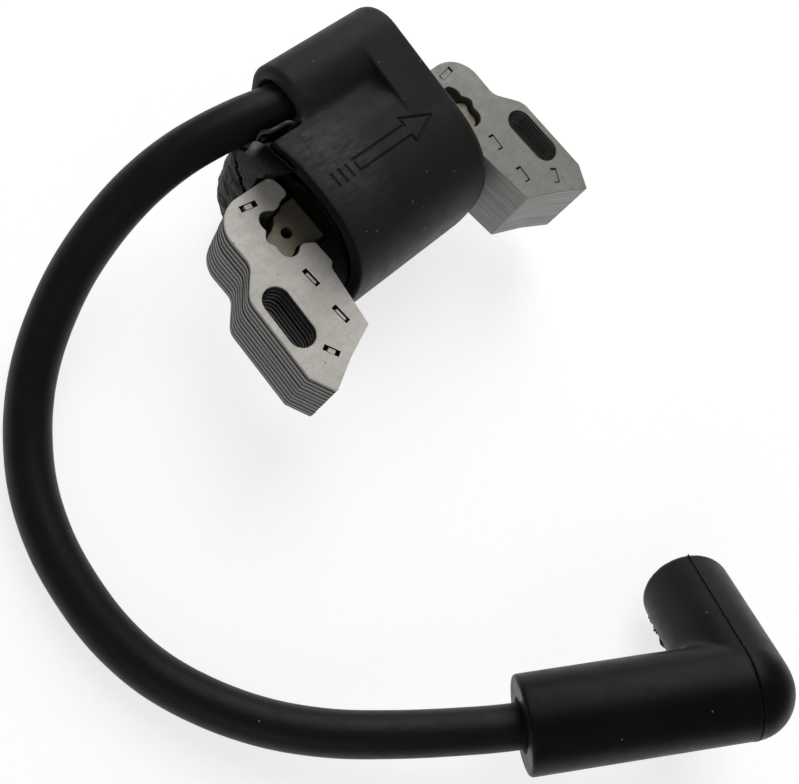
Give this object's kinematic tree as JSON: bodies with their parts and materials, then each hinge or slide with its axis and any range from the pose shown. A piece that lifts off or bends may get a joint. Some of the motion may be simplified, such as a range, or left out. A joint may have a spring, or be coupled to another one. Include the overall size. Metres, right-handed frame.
{
  "type": "ignition coil",
  "caption": "Small-engine ignition coil: laminated pole legs on a core bar, a potted coil housing and a high-tension lead with an elbow plug boot.",
  "frame": {"origin": "centre of the coil body's box, at the level of the housing's flat back", "axes": "+X along the core bar, +Y away from the pole faces, +Z out of the face that looks away from the flywheel"},
  "size_m": [0.1102, 0.129, 0.032],
  "materials": {
    "lamination_steel": "stamped sheet steel, matt",
    "core_bar_steel": "oxide-stained sheet steel",
    "housing_plastic": "satin moulded",
    "potting_resin": "cast resin",
    "bobbin_nylon": "moulded",
    "copper_wire": "enamelled",
    "insulation_paper": "plain",
    "board_laminate": "plain",
    "chip_plastic": "plain",
    "terminal_brass": "plain",
    "wire_jacket": "smooth",
    "lead_rubber": "smooth satin",
    "boot_rubber": "moulded, matt",
    "terminal_steel": "plated"
  },
  "bodies": {
    "coil": {"leg_left_laminations": "lamination_steel", "leg_right_laminations": "lamination_steel", "core_bar": "core_bar_steel", "coil_housing": "housing_plastic", "primary_bobbin": "bobbin_nylon", "primary_winding": "copper_wire", "winding_insulation": "insulation_paper", "secondary_bobbin": "bobbin_nylon", "former_nose": "bobbin_nylon", "secondary_winding_inner": "copper_wire", "secondary_winding_outer": "copper_wire", "potting_compound": "potting_resin", "control_board": "board_laminate", "switching_transistor": "chip_plastic", "timing_resistor": "chip_plastic", "lead_spike": "terminal_brass", "high_tension_link": "terminal_brass", "primary_lead_loop": "wire_jacket", "high_tension_lead": "lead_rubber"},
    "boot": {"plug_boot": "boot_rubber", "plug_terminal": "terminal_steel", "terminal_clip": "terminal_steel", "terminal_prong": "terminal_steel"}
  },
  "joints": [
    {"name": "boot_swivel", "type": "hinge", "parent": "coil", "child": "boot", "pos_m": [-0.01062, -0.09849, 0.02292], "axis": [0.7876, -0.5367, 0.3028], "range_deg": [0, 180]}
  ]
}
